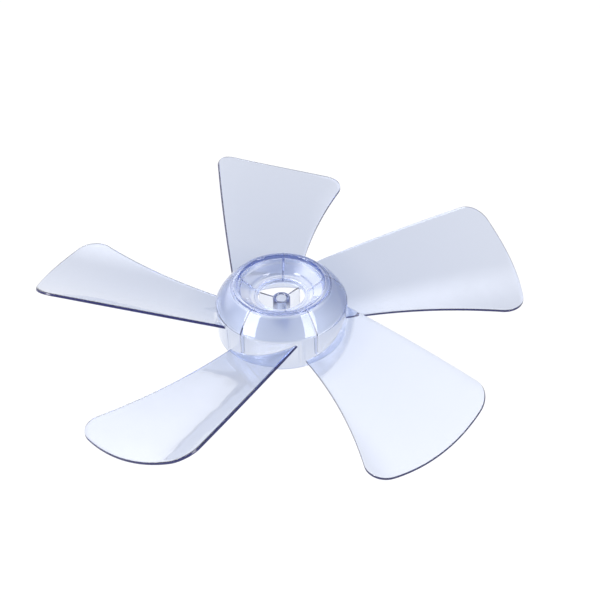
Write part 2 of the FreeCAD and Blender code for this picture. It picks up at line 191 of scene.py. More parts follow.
# %% Centres of the round corners
LEADING_CORNER = 15.0
TRAILING_CORNER = 17.5


def crossing(first, first_radius, second, second_radius, near):
    """Where two circles cross, on the side of a point."""
    way = second - first
    along = (way.length_squared + first_radius ** 2 - second_radius ** 2) / (2 * way.length)
    aside = math.sqrt(first_radius ** 2 - along ** 2)
    unit = way.normalized()
    across = Vector((-unit.y, unit.x)) * aside
    foot = first + unit * along
    return min(foot + across, foot - across, key=lambda point: (point - near).length)


LEADING_CORNER_CENTRE = crossing(LEADING_CENTRE, LEADING_CURVE + LEADING_CORNER,
                                 TIP_CENTRE, TIP_CURVE - LEADING_CORNER, LEADING_TIP)
TRAILING_CORNER_CENTRE = crossing(TRAILING_CENTRE, TRAILING_CURVE - TRAILING_CORNER,
                                  TIP_CENTRE, TIP_CURVE - TRAILING_CORNER, TRAILING_TIP)
print("the round corners are centred", round(LEADING_CORNER_CENTRE.length, 1), "and",
      round(TRAILING_CORNER_CENTRE.length, 1), "mm from the shaft")

# %% Points along the outline
OUTLINE_STEP = 1.3
FEWEST_STEPS = 6


def touch(centre, radius, corner):
    """Where an arc meets a round corner: on the line through both centres."""
    return centre + (corner - centre).normalized() * radius


def along_arc(centre, start, end):
    """Points from start up to, but without, end, by the shorter way round a centre."""
    first = math.atan2(start.y - centre.y, start.x - centre.x)
    last = math.atan2(end.y - centre.y, end.x - centre.x)
    sweep = (last - first + math.pi) % (2 * math.pi) - math.pi
    radius = (start - centre).length
    count = max(FEWEST_STEPS, math.ceil(abs(sweep) * radius / OUTLINE_STEP))
    return [centre + polar(radius, first + sweep * i / count) for i in range(count)]


def blade_outline():
    """The whole outline, arc by arc from the leading root, and back along the root."""
    arcs = [
        (LEADING_CENTRE, LEADING_ROOT),
        (LEADING_CORNER_CENTRE, touch(LEADING_CENTRE, LEADING_CURVE, LEADING_CORNER_CENTRE)),
        (TIP_CENTRE, touch(TIP_CENTRE, TIP_CURVE, LEADING_CORNER_CENTRE)),
        (TRAILING_CORNER_CENTRE, touch(TIP_CENTRE, TIP_CURVE, TRAILING_CORNER_CENTRE)),
        (TRAILING_CENTRE, touch(TRAILING_CENTRE, TRAILING_CURVE, TRAILING_CORNER_CENTRE)),
        (Vector((0, 0)), TRAILING_ROOT),
    ]
    outline = []
    for i, (centre, start) in enumerate(arcs):
        end = arcs[(i + 1) % len(arcs)][1]
        outline += along_arc(centre, start, end)
    return outline


OUTLINE = blade_outline()
print("blade outline of", len(OUTLINE), "points")

# %% [markdown]
# ## The blade's dish
#
# A blade is hollow to the front and twists: steep at the hub, flatter at the tip. It could be bent with a
# Simple Deform modifier, but three circles say it all, one at the shaft, one halfway and one at the tip,
# each with its own pitch and hollow. Between them the height follows a parabola through the three, which
# is what a loft through three sections does.

# %% Height of the blade's faces
BLADE_THICKNESS = 2.0
BLADE_MIDDLE = 20.0
BLADE_LEVEL = 11.8
SECTION_END = 187.9
SECTIONS = [
    (math.radians(24.8), 148.0),
    (math.radians(17.1), 145.0),
    (math.radians(13.9), 193.0),
]


def blade_height(x, y, side):
    """Height of the blade's front face (side 1), rear face (-1) or anything between."""
    share = x / SECTION_END
    weights = (1 - share) * (1 - 2 * share), 4 * share * (1 - share), share * (2 * share - 1)
    height = 0
    for weight, (pitch, camber) in zip(weights, SECTIONS):
        across = y - BLADE_MIDDLE + camber * math.sin(pitch)
        radius = camber - side * BLADE_THICKNESS / 2
        height += weight * (BLADE_LEVEL + camber * math.cos(pitch) - math.sqrt(radius ** 2 - across ** 2))
    return height


print("tip corners at heights of", round(blade_height(*LEADING_TIP, 0), 1), "and",
      round(blade_height(*TRAILING_TIP, 0), 1), "mm")

# %% [markdown]
# ## The blade's edge
#
# A moulded sheet ends in an edge that is square to its faces, with a small rounding on either side. The
# Solidify and Bevel modifiers could make it from a single face. Here it is a stack of rings, each a copy
# of the outline that lies a little further in and nearer to a face, because then the outline stays exact
# and each ring can carry its edge share: full on the edge's flat and fading out in the roundings.

# %% Rings from the rear face to the front
EDGE_ROUND = 0.3
EDGE_STEPS = 4
DARK_STEPS = 2
BAND = 3.0


def edge_rings():
    """Inset, side and edge share of each ring, from the rear of the blade to its front."""
    flat = 1 - 2 * EDGE_ROUND / BLADE_THICKNESS
    rings = []
    for step in range(EDGE_STEPS + 1):
        angle = math.pi / 2 * step / EDGE_STEPS
        sunk = EDGE_ROUND * (1 - math.cos(angle))
        rings.append((sunk, flat + (1 - flat) * math.sin(angle), max(0, 1 - step / DARK_STEPS)))
    rings.append((BAND, 1, 0))
    return [(sunk, -side, dark) for sunk, side, dark in reversed(rings)] + rings


RINGS = edge_rings()
print(len(RINGS), "rings around a blade")

# %% [markdown]
# ## An edge that leans with the blade
#
# The blade slopes, so an edge that is square to its faces leans: it lies on the outline at one face and a
# millimetre inside it at the other. It could stand upright, which is simpler, but then the edges that
# face the eye would turn away from it, and those that hide would show. The band inside the rings stays
# where it is, for both faces to be filled alike, and near the root everything closes up inside the hub.

# %% Rings moved inwards
ROOT_SHARE = 0.02
ROOT_TAPER = 0.4


def lean(point, inward, side):
    """How far inside the outline an edge that is square to the faces lies, at a side of the blade."""
    within = point + inward
    rise = blade_height(*point, 0) - blade_height(*within, 0)
    tilt = rise / math.hypot(1, rise)
    return BLADE_THICKNESS * tilt * (side + math.copysign(1, tilt)) / 2


def inset(distance, side=None):
    """The outline moved inwards along its normals, and leaning where a side is given."""
    moved = []
    for i, point in enumerate(OUTLINE):
        before = (point - OUTLINE[i - 1]).normalized()
        after = (OUTLINE[(i + 1) % len(OUTLINE)] - point).normalized()
        inward = Vector((-before.y - after.y, before.x + after.x)).normalized()
        slant = inward.dot(Vector((-after.y, after.x)))
        reach = distance if side is None else distance + lean(point, inward, side)
        room = ROOT_SHARE * reach + ROOT_TAPER * max(0, point.length - ROOT_RADIUS)
        moved.append(point + inward * min(reach, room) / slant)
    return moved


BORDER = inset(BAND)
widest_lean = max((front - rear).length for front, rear in zip(inset(0, 1), inset(0, -1)))
print("the edge leans by up to", round(widest_lean, 2), "mm")

# %% [markdown]
# ## The blade's faces
#
# A face could be one big polygon, but a polygon is flat inside and can't follow the dish. So the border is
# filled with an even field of points, and a Delaunay triangulation turns border and field into triangles
# that are nearly all alike. The same triangles serve the front and the rear.

# %% A field of points
FILL_STEP = 4.0
FILL_MARGIN = 2.0


def field_points(border):
    """Points of an even triangular field that keep a margin from the border."""
    xs = [point.x for point in border]
    ys = [point.y for point in border]
    row_step = FILL_STEP * math.sqrt(3) / 2
    found = []
    for row in range(math.ceil((max(ys) - min(ys)) / row_step)):
        for column in range(math.ceil((max(xs) - min(xs)) / FILL_STEP)):
            point = Vector((min(xs) + (column + row % 2 / 2) * FILL_STEP, min(ys) + row * row_step))
            if min((point - near).length for near in border) > FILL_MARGIN:
                found.append(point)
    return found


FIELD = field_points(BORDER)
print(len(FIELD), "points in and around the border")

# %% One blade as a closed skin
INSIDE_ONLY = 1
WELD = 1e-5


def rim():
    """Points (x, y, height, edge share) of the rings, and the faces between them."""
    count = len(OUTLINE)
    points = []
    for distance, side, dark in RINGS:
        ring = inset(distance, side if distance < BAND else None)
        points += [(p.x, p.y, blade_height(p.x, p.y, side), dark) for p in ring]
    faces = []
    for lower in range(0, (len(RINGS) - 1) * count, count):
        upper = lower + count
        for i in range(count):
            after = (i + 1) % count
            faces.append([lower + i, lower + after, upper + after, upper + i])
    return points, faces


def blade_skin():
    """Points and faces of one blade: its rim, and a front and a rear filled with triangles."""
    points, faces = rim()
    count = len(OUTLINE)
    loop = [(i, (i + 1) % count) for i in range(count)]
    flat, _, triangles, sources, _, _ = delaunay_2d_cdt(BORDER + FIELD, loop, [], INSIDE_ONLY, WELD)
    for side, first in ((-1, 0), (1, (len(RINGS) - 1) * count)):
        names = []
        for point, source in zip(flat, sources):
            if source and source[0] < count:
                names.append(first + source[0])
            else:
                names.append(len(points))
                points.append((point.x, point.y, blade_height(point.x, point.y, side), 0))
        faces += [[names[i] for i in triangle] for triangle in triangles]
    return points, faces


SKIN_POINTS, SKIN_FACES = blade_skin()
print("one blade has", len(SKIN_FACES), "faces")

# %% [markdown]
# ## Five blades, paler towards the tip
#
# Near the hub a blade lies in the hub's shade, and towards its tip it catches a white sheen. Both are
# painted: on a blade of one thickness, the tint share deepens near the hub as painted shade and fades
# towards the tip as a painted sheen. The blade is made once, and its points are turned about the shaft for
# the other four.

# %% The blades
BLADE_COUNT = 5
# The root's extra tint is painted shade near the hub; the tip's fade is a painted sheen.
BLADE_TINT = 0.32
ROOT_PAINTED_SHADE = 0.18
TIP_PAINTED_SHEEN = 0.14
ROOT_DEEP = 52.0
ROOT_PALE = 80.0
TIP_PALE = 178.0


def share_between(start, end, value):
    """How far a value has come from start to end, from 0 to 1."""
    return min(1, max(0, (value - start) / (end - start)))


def blade_tint_and_painted_light(x, y):
    """The tint share at a plan point, with painted shade near the hub and a painted sheen towards the tip.
    """
    radius = math.hypot(x, y)
    root = share_between(ROOT_PALE, ROOT_DEEP, radius)
    tip = share_between(ROOT_PALE, TIP_PALE, radius)
    return BLADE_TINT + ROOT_PAINTED_SHADE * root - TIP_PAINTED_SHEEN * tip


def make_blades():
    bm = blank()
    for number in range(BLADE_COUNT):
        angle = 2 * math.pi * number / BLADE_COUNT
        made = []
        for x, y, height, dark in SKIN_POINTS:
            place = placed(*turned((x, y), angle), height)
            made.append(add_point(bm, place, edge=dark, tint=blade_tint_and_painted_light(x, y)))
        for face in SKIN_FACES:
            bm.faces.new([made[i] for i in face])
    unused = [point for point in bm.verts if not point.link_faces]
    bmesh.ops.delete(bm, geom=unused, context="VERTS")
    return new_piece("blades", bm)


blades = make_blades()

# %% [markdown]
# ## The hub's section
#
# The hub is a bell: a drafted skirt, a domed shoulder, a rim, and inside it the stepped recess that takes
# the nut and ends in a short collar. It could be stacked from cylinders and cones, but a lathe would turn
# it, so it is one closed section that is spun about the shaft. Each radius is the last one plus a step,
# from the collar outwards, and the heights go up to the rim and down again into the recess.

# %% Radii and heights
WALL = 2.2
COLLAR_RADIUS = 17.3
SEAT_RADIUS = COLLAR_RADIUS + 4.0
GUTTER_RADIUS = SEAT_RADIUS + 1.7
STEP_RADIUS = GUTTER_RADIUS + 0.6
FLOOR_RADIUS = STEP_RADIUS + 6.6
LIP_RADIUS = FLOOR_RADIUS + 1.8
RIM_RADIUS = LIP_RADIUS + 3.0
SHOULDER_RADIUS = RIM_RADIUS + 1.7
HUB_RADIUS = SHOULDER_RADIUS + 11.0
FOOT_RADIUS = HUB_RADIUS - 0.7
SKIRT_HEIGHT = 25.2
SHOULDER_HEIGHT = SKIRT_HEIGHT + 14.4
RIM_HEIGHT = SHOULDER_HEIGHT + 2.4
FLOOR_HEIGHT = RIM_HEIGHT - 5.0
STEP_HEIGHT = FLOOR_HEIGHT - 3.4
GUTTER_HEIGHT = STEP_HEIGHT - 1.2
SEAT_HEIGHT = GUTTER_HEIGHT - 0.8
COLLAR_REAR = SEAT_HEIGHT - 4.2
print("the hub is", round(2 * HUB_RADIUS, 1), "mm across and", round(RIM_HEIGHT, 1), "mm high")

# %% The shoulder's arc, outside and inside
SHOULDER_CURVE = 42.0
ARC_POINTS = 14
CREASE = (HUB_RADIUS, SKIRT_HEIGHT)
TOP = (SHOULDER_RADIUS, SHOULDER_HEIGHT)
INNER_CREASE = (HUB_RADIUS - WALL, SKIRT_HEIGHT - WALL / 2)
INNER_TOP = (SHOULDER_RADIUS - WALL, SHOULDER_HEIGHT - WALL)


def shoulder(start, end, radius, hollow):
    """Points (radius, height, no rounding) between the two ends of the shoulder's arc."""
    centre = arc_centre(Vector(start), Vector(end), radius, hollow)
    first = Vector(start) - centre
    last = Vector(end) - centre
    sweep = math.atan2(first.cross(last), first.dot(last))
    begin = math.atan2(first.y, first.x)
    shares = [i / ARC_POINTS for i in range(1, ARC_POINTS)]
    return [(*(centre + polar(radius, begin + sweep * share)), 0) for share in shares]


SHOULDER = shoulder(CREASE, TOP, SHOULDER_CURVE, False)
SHOULDER_REAR = shoulder(INNER_TOP, INNER_CREASE, SHOULDER_CURVE - WALL, True)
print("the shoulder's arc has", len(SHOULDER), "points outside and", len(SHOULDER_REAR), "inside")

# %% Corners (radius, height, rounding), stretch by stretch
CREASE_ROUND = 1.2
RIM_ROUND = 0.8
SOFT_ROUND = 0.5
FINE_ROUND = 0.25

SKIRT = [
    (FOOT_RADIUS, 0, SOFT_ROUND),
    (*CREASE, CREASE_ROUND),
]
RECESS = [
    (*TOP, FINE_ROUND),
    (RIM_RADIUS, SHOULDER_HEIGHT, FINE_ROUND),
    (RIM_RADIUS, RIM_HEIGHT, RIM_ROUND),
    (LIP_RADIUS, RIM_HEIGHT, RIM_ROUND),
    (FLOOR_RADIUS, FLOOR_HEIGHT, SOFT_ROUND),
    (STEP_RADIUS, STEP_HEIGHT, FINE_ROUND),
    (GUTTER_RADIUS, GUTTER_HEIGHT, FINE_ROUND),
    (SEAT_RADIUS, SEAT_HEIGHT, FINE_ROUND),
    (COLLAR_RADIUS, SEAT_HEIGHT, SOFT_ROUND),
]
RECESS_REAR = [
    (COLLAR_RADIUS, COLLAR_REAR, FINE_ROUND),
    (COLLAR_RADIUS + WALL, COLLAR_REAR, FINE_ROUND),
    (COLLAR_RADIUS + WALL, SEAT_HEIGHT - WALL, FINE_ROUND),
    (SEAT_RADIUS, SEAT_HEIGHT - WALL, FINE_ROUND),
    (STEP_RADIUS, GUTTER_HEIGHT - WALL, FINE_ROUND),
    (FLOOR_RADIUS, FLOOR_HEIGHT - WALL, SOFT_ROUND),
    (LIP_RADIUS, SHOULDER_HEIGHT - WALL / 2, FINE_ROUND),
]
SHOULDER_INSIDE = [(*INNER_TOP, FINE_ROUND), *SHOULDER_REAR]
SKIRT_INSIDE = [
    (*INNER_CREASE, CREASE_ROUND),
    (FOOT_RADIUS - WALL, 0, SOFT_ROUND),
]
SECTION = SKIRT + SHOULDER + RECESS + RECESS_REAR + SHOULDER_INSIDE + SKIRT_INSIDE
print("the hub's section has", len(SECTION), "corners")

# %% [markdown]
# ## Rounding
#
# A mould has no perfectly sharp corner, and each small curve catches a line of light. Blender's Bevel
# modifier can round corners, but it works on the finished mesh, and here it would have to find its way
# through hundreds of edges. Rounding the few corners of the section before it is spun is exact and costs
# nothing: each corner becomes a short arc that touches both of its sides.

# %% Corners that become arcs
ROUND_POINTS = 4


def rounded(section):
    """The section's points, each with its corner's number, once corners with a rounding became arcs."""
    points = []
    for i, (radius, height, rounding) in enumerate(section):
        corner = Vector((radius, height))
        if not rounding:
            points.append((corner, i))
            continue
        before = (Vector(section[i - 1][:2]) - corner).normalized()
        after = (Vector(section[(i + 1) % len(section)][:2]) - corner).normalized()
        half = before.angle(after) / 2
        centre = corner + (before + after).normalized() * rounding / math.sin(half)
        start = corner + before * rounding / math.tan(half) - centre
        end = corner + after * rounding / math.tan(half) - centre
        sweep = math.atan2(start.cross(end), start.dot(end))
        first = math.atan2(start.y, start.x)
        points += [(centre + polar(rounding, first + sweep * step / ROUND_POINTS), i)
                   for step in range(ROUND_POINTS + 1)]
    return points


print("rounded, it has", len(rounded(SECTION)), "points")

# %% [markdown]
# ## Spinning, with a finish and a tone for each stretch
#
# The mould is polished where the hub is seen from the front and left duller where it isn't, so the rear
# of the recess and of the shoulder is frosted, and light that comes through is spread. The shoulder has
# the deepest tint, as painted shade for the shaded table under the hub that is seen through it, and the
# recess the palest, as painted light that falls into it from above. Blender's Screw modifier could spin
# the section, but it couldn't say which stretch of it has which finish and tone, so the rings are made in
# code.

# %% The hub
SPIN_STEPS = 240
# The shoulder's deep tint is painted shade; the recess's pale tint is painted light.
SHOULDER_PAINTED_SHADE_TINT = 0.68
WALL_TINT = 0.33
RECESS_PAINTED_LIGHT_TINT = 0.0
SHOULDER_FROST = 0.9
RECESS_FROST = 0.7
INNER_FROST = 0.2


def spun(name, stretches, core=0):
    """A ring spun from a closed section, whose corners come in stretches of (frost, tint, corners)."""
    section = [corner for _, _, corners in stretches for corner in corners]
    frosts_and_tints = [(frost, tint) for frost, tint, corners in stretches for _ in corners]
    points = rounded(section)
    bm = blank()
    rings = []
    for step in range(SPIN_STEPS):
        angle = 2 * math.pi * step / SPIN_STEPS
        ring = []
        for point, corner in points:
            frost, tint = frosts_and_tints[corner]
            place = placed(*polar(point.x, angle), point.y)
            ring.append(add_point(bm, place, core=core, frost=frost, tint=tint))
        rings.append(ring)
    for step, ring in enumerate(rings):
        following = rings[(step + 1) % SPIN_STEPS]
        for i in range(len(points)):
            after = (i + 1) % len(points)
            bm.faces.new([ring[i], ring[after], following[after], following[i]])
    return new_piece(name, bm)


hub = spun("hub", [
    (0, WALL_TINT, SKIRT),
    (0, SHOULDER_PAINTED_SHADE_TINT, SHOULDER),
    (0, RECESS_PAINTED_LIGHT_TINT, RECESS),
    (RECESS_FROST, RECESS_PAINTED_LIGHT_TINT, RECESS_REAR),
    (SHOULDER_FROST, SHOULDER_PAINTED_SHADE_TINT, SHOULDER_INSIDE),
    (INNER_FROST, WALL_TINT, SKIRT_INSIDE),
])

# %% [markdown]
# ## The boss
#
# The motor's shaft goes through a thick little tube in the middle of the hub. It could be a Cylinder with
# a hole bored by a Boolean, but it is round like the hub, so it is spun from a section of five corners,
# one of them the chamfer that leads the shaft's end out.

# %% The boss
BOSS_RADIUS = 6.25
BORE_RADIUS = 4.05
BOSS_REAR = 8.0
BOSS_FRONT = SEAT_HEIGHT - 3.4
BORE_CHAMFER = 0.6
BOSS_CORE = 0.15

boss = spun("boss", [(INNER_FROST, BLADE_TINT, [
    (BORE_RADIUS, BOSS_REAR, FINE_ROUND),
    (BOSS_RADIUS, BOSS_REAR, SOFT_ROUND),
    (BOSS_RADIUS, BOSS_FRONT, SOFT_ROUND),
    (BORE_RADIUS + BORE_CHAMFER, BOSS_FRONT, FINE_ROUND),
    (BORE_RADIUS, BOSS_FRONT - BORE_CHAMFER, FINE_ROUND),
])], core=BOSS_CORE)

# %% [markdown]
# ## Fins and ribs
#
# The boss hangs in the collar on three fins, and five ribs stand under the recess and the shoulder. They
# could be boxes, cut to shape, but each is a flat plate with a drawn outline, so one function makes them
# all from their corners. A plate ends inside the wall that carries it, so that the join below makes one
# body of the two. Its core share tells the plastic to darken it when it is seen along.

# %% Plates around the shaft, and the fins
PLATE_CORE = 0.5
PLATE_THICKNESS = 1.2
SUNK = WALL / 2
BOSS_MIDDLE = (BOSS_RADIUS + BORE_RADIUS) / 2
FIN_COUNT = 3
FIN_ANGLE = 29.0
FIN_EDGE = COLLAR_RADIUS - 0.3
FIN_REAR = BOSS_REAR + 2.5
FIN_FRONT = BOSS_FRONT - 1.0


def plates(name, outline, thickness, first_angle, count, frost=INNER_FROST, core=PLATE_CORE):
    """Flat radial plates of an outline of (radius, height) corners, evenly around the shaft."""
    bm = blank()
    for number in range(count):
        angle = math.radians(first_angle) + 2 * math.pi * number / count
        sides = []
        for offset in (-thickness / 2, thickness / 2):
            places = [placed(*turned((radius, offset), angle), height) for radius, height in outline]
            sides.append([add_point(bm, place, frost=frost, core=core) for place in places])
        bm.faces.new(sides[0])
        bm.faces.new(sides[1][::-1])
        for i in range(len(outline)):
            after = (i + 1) % len(outline)
            bm.faces.new([sides[0][i], sides[1][i], sides[1][after], sides[0][after]])
    return new_piece(name, bm)


fins = plates("fins", [
    (BOSS_MIDDLE, FIN_REAR),
    (FIN_EDGE, FIN_REAR),
    (FIN_EDGE, COLLAR_REAR - SUNK),
    (COLLAR_RADIUS + SUNK, COLLAR_REAR),
    (COLLAR_RADIUS + SUNK, COLLAR_REAR + SUNK),
    (BOSS_MIDDLE, FIN_FRONT),
], PLATE_THICKNESS, FIN_ANGLE, FIN_COUNT)

# %% The ribs
RIB_COUNT = 5
RIB_ANGLE = 4.0
RIB_REAR = COLLAR_REAR + 0.5
RIB_INSIDE = FOOT_RADIUS - WALL - 2.5
RIB_FOOT = 7.0

ribs = plates("ribs", [
    (COLLAR_RADIUS + SUNK, RIB_REAR),
    (RIB_INSIDE, RIB_REAR),
    (RIB_INSIDE, RIB_FOOT),
    (FOOT_RADIUS - SUNK, RIB_FOOT),
    (HUB_RADIUS - SUNK, SKIRT_HEIGHT - SUNK / 2),
    (SHOULDER_RADIUS - SUNK, SHOULDER_HEIGHT - SUNK),
    (LIP_RADIUS, SHOULDER_HEIGHT),
    (FLOOR_RADIUS, FLOOR_HEIGHT - SUNK),
    (STEP_RADIUS, GUTTER_HEIGHT - SUNK),
    (COLLAR_RADIUS + SUNK, SEAT_HEIGHT - SUNK),
], PLATE_THICKNESS, RIB_ANGLE, RIB_COUNT)

# %% [markdown]
# ## Mould marks and the pin slot
#
# Where the halves of the mould close between two blades, a hair of plastic stands on the skirt. At the
# boss's rear end a slot takes the shaft's cross pin. A bump in the material could fake the first, but a
# true ridge bends light as the real one does. Both are plates again: one kind is added, the other cut away.

# %% Closing ridges
RIDGE_MARGIN = 3.8
RIDGE_PROUD = 0.2
RIDGE_DRAFT = (HUB_RADIUS - FOOT_RADIUS) * RIDGE_MARGIN / SKIRT_HEIGHT
RIDGE_THICKNESS = 0.6
RIDGE_ANGLE = 59.6

ridges = plates("ridges", [
    (FOOT_RADIUS - SUNK, RIDGE_MARGIN),
    (FOOT_RADIUS + RIDGE_DRAFT + RIDGE_PROUD, RIDGE_MARGIN),
    (HUB_RADIUS - RIDGE_DRAFT + RIDGE_PROUD, SKIRT_HEIGHT - RIDGE_MARGIN),
    (FOOT_RADIUS - SUNK, SKIRT_HEIGHT - RIDGE_MARGIN),
], RIDGE_THICKNESS, RIDGE_ANGLE, BLADE_COUNT, frost=0, core=0)

# %% The slot's cutter
SLOT_DEPTH = 5.0
SLOT_WIDTH = 2.8
SLOT_ANGLE = 119.0

slot_cutter = plates("slot_cutter", [
    (-BOSS_RADIUS - WALL, BOSS_REAR - WALL),
    (BOSS_RADIUS + WALL, BOSS_REAR - WALL),
    (BOSS_RADIUS + WALL, BOSS_REAR + SLOT_DEPTH),
    (-BOSS_RADIUS - WALL, BOSS_REAR + SLOT_DEPTH),
], SLOT_WIDTH, SLOT_ANGLE, 1)

# %% [markdown]
# ## One body
#
# In glass or clear plastic, two bodies that overlap show a false surface inside. So the pieces are joined
# by Boolean modifiers, one after the other, and the result is read off as a new mesh. A voxel remesh would
# join them too, but it would wear down every edge. The Manifold solver wants closed meshes, which all of
# these are, and gives a closed mesh back.

# %% Joining the pieces
SHARP_ANGLE = math.radians(32)


def joined(name, base, steps):
    """A new piece from base after boolean steps, with the helpers removed."""
    for operation, other in steps:
        modifier = base.modifiers.new(other.name, "BOOLEAN")
        modifier.operation = operation
        modifier.solver = "MANIFOLD"
        modifier.object = other
    bpy.context.view_layer.update()
    evaluated = base.evaluated_get(bpy.context.evaluated_depsgraph_get())
    mesh = bpy.data.meshes.new_from_object(evaluated)
    mesh.name = name
    for helper in [base] + [other for _, other in steps]:
        bpy.data.objects.remove(helper)
    mesh.shade_smooth()
    mesh.set_sharp_from_angle(angle=SHARP_ANGLE)
    piece = bpy.data.objects.new(name, mesh)
    bpy.context.scene.collection.objects.link(piece)
    print(name, len(mesh.vertices), "vertices,", len(mesh.polygons), "faces")
    return piece


moulding = joined("moulded_fan", hub, [
    ("UNION", ribs),
    ("UNION", fins),
    ("UNION", boss),
    ("UNION", ridges),
    ("DIFFERENCE", slot_cutter),
    ("UNION", blades),
])
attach(moulding, "root")
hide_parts("fan_blade")

# %% [markdown]
# ## Sums in the shader
#
# A material is a small program of nodes. Written node by node it is long, so a class wraps a node's output
# and lets plain sums add the Math nodes. One method adds any other kind of node.

# %% A wire that can be used in sums


class Wire:
    """A node's output. Operators on it add Math nodes."""

    def __init__(self, tree, socket):
        self.tree = tree
        self.socket = socket

    def node(self, kind, settings=None, sockets=None, output=0):
        """A node of any kind: its settings first, then values or wires for its sockets."""
        return add_node(self.tree, kind, settings, sockets, output)

    def math(self, operation, first, second):
        return self.node("ShaderNodeMath", {"operation": operation}, {0: first, 1: second})

    def __add__(self, other):
        return self.math("ADD", self, other)

    def __radd__(self, other):
        return self.math("ADD", other, self)

    def __sub__(self, other):
        return self.math("SUBTRACT", self, other)

    def __rsub__(self, other):
        return self.math("SUBTRACT", other, self)

    def __mul__(self, other):
        return self.math("MULTIPLY", self, other)

    def __rmul__(self, other):
        return self.math("MULTIPLY", other, self)

    def __truediv__(self, other):
        return self.math("DIVIDE", self, other)

    def __rtruediv__(self, other):
        return self.math("DIVIDE", other, self)


print("sums of wires: + - * /")

# %% New nodes and new trees


def add_node(tree, kind, settings=None, sockets=None, output=0):
    """A node in a tree, by its kind, its settings and its sockets. Its output comes back as a wire."""
    made = tree.nodes.new(kind)
    for name, value in (settings or {}).items():
        setattr(made, name, value)
    for name, value in (sockets or {}).items():
        if isinstance(value, Wire):
            tree.links.new(value.socket, made.inputs[name])
        else:
            made.inputs[name].default_value = value
    return Wire(tree, made.outputs[output])


def new_tree(holder):
    """An empty node tree for a material or a world."""
    holder.use_nodes = True
    holder.node_tree.nodes.clear()
    return holder.node_tree


def finish_tree(tree, kind, **wires):
    """The tree's output node, with a wire for each of its sockets that is used."""
    output = tree.nodes.new(kind)
    for name, wire in wires.items():
        tree.links.new(wire.socket, output.inputs[name])
    print(kind, "ends a tree of", len(tree.nodes), "nodes")


print("helpers for trees:", add_node.__name__, new_tree.__name__, finish_tree.__name__)

# %% [markdown]
# ## The plastic's skin
#
# Styrene plastic bends light a little more than window glass does. Its outside is polished, with the faint
# ripple of plastic that flowed outwards and cooled and a breath of haze, and it is rough where the frost
# share says so. Plain glass of one roughness would look like a drawing of plastic. The tint share picks a
# colour between a pale one and a deep one, which light takes on each time it passes the skin.

# %% Polished, rippled and frosted
PLASTIC_IOR = 1.57
PALE_TINT = (0.88, 0.91, 0.985, 1)
DEEP_TINT = (0.37, 0.45, 0.66, 1)
POLISHED = 0.015
HAZE_ROUGHNESS = 0.05
FROST_ROUGHNESS = 0.4
HAZE_SCALE = 160.0
HAZE_DETAIL = 4.0
FLOW_SCALE = 22.0
FLOW_DETAIL = 2.0
RIPPLE_STRENGTH = 0.12
RIPPLE_DEPTH = 0.002
MIX_FIRST = 6
MIX_SECOND = 7
MIX_RESULT = 2


def point_share(tree, name):
    """One of the points' shares, as a wire."""
    return add_node(tree, "ShaderNodeAttribute", {"attribute_name": name}, output="Fac")


def clear_skin(tree):
    place = add_node(tree, "ShaderNodeTexCoord", output="Object")
    flow = place.node("ShaderNodeTexNoise",
                      sockets={"Vector": place, "Scale": FLOW_SCALE, "Detail": FLOW_DETAIL})
    haze = place.node("ShaderNodeTexNoise",
                      sockets={"Vector": place, "Scale": HAZE_SCALE, "Detail": HAZE_DETAIL})
    roughness = POLISHED + HAZE_ROUGHNESS * haze + FROST_ROUGHNESS * point_share(tree, "frost")
    ripple = place.node("ShaderNodeBump", sockets={
        "Height": flow, "Strength": RIPPLE_STRENGTH, "Distance": RIPPLE_DEPTH})
    colour = place.node("ShaderNodeMix", {"data_type": "RGBA"}, {
        "Factor": point_share(tree, "tint"), MIX_FIRST: PALE_TINT, MIX_SECOND: DEEP_TINT}, MIX_RESULT)
    return place.node("ShaderNodeBsdfPrincipled", sockets={
        "Base Color": colour,
        "Roughness": roughness,
        "IOR": PLASTIC_IOR,
        "Transmission Weight": 1.0,
        "Normal": ripple,
    })


print("roughness from", POLISHED, "polished to about", POLISHED + HAZE_ROUGHNESS + FROST_ROUGHNESS)

# %% [markdown]
# ## Dark edges
#
# The edge of a clear sheet looks dark, because the light that comes out there has run a long way inside
# and the tint has swallowed it. A renderer would have to follow very many turns of that light, so the
# edge share mixes in a navy where an edge is seen from outside. In fins and ribs it works from inside:
# where a ray can't get out, which the Fresnel node tells by a full reflection, the core share swallows a
# part of it. So a plate is clear when it is seen face on and dark when it is seen along.

# %% Where light is swallowed
EDGE_NAVY = (0.01, 0.011, 0.07, 1)
NAVY_ROUGHNESS = 0.2


def dark_edges(tree, skin):
    """The skin with its dark edges and cores."""
    inside = add_node(tree, "ShaderNodeNewGeometry", output="Backfacing")
    trapped = add_node(tree, "ShaderNodeFresnel", sockets={"IOR": PLASTIC_IOR})
    swallowed = point_share(tree, "edge") * (1 - inside) + point_share(tree, "core") * inside * trapped
    navy = skin.node("ShaderNodeBsdfPrincipled", sockets={
        "Base Color": EDGE_NAVY,
        "Roughness": NAVY_ROUGHNESS,
        "IOR": PLASTIC_IOR,
    })
    return skin.node("ShaderNodeMixShader", sockets={0: swallowed, 1: skin, 2: navy})


print("edges fade to", EDGE_NAVY[:3])

# %% [markdown]
# ## The plastic's body and shadow
#
# The plastic is tinted through and through, so most of its colour is a volume that swallows red first and
# blue last: a short way through it is almost white, a long way blue. Light from the lamps passes straight
# through with a tint. The renderer could bend that light too, but the bright patterns that it then draws
# take very many samples, and this keeps the shadow soft and clean.

# %% The whole plastic
TINT = (0.048, 0.2, 0.638, 1)
TINT_DENSITY = 42.0
SHADOW_TINT = (0.93, 0.945, 0.98, 1)


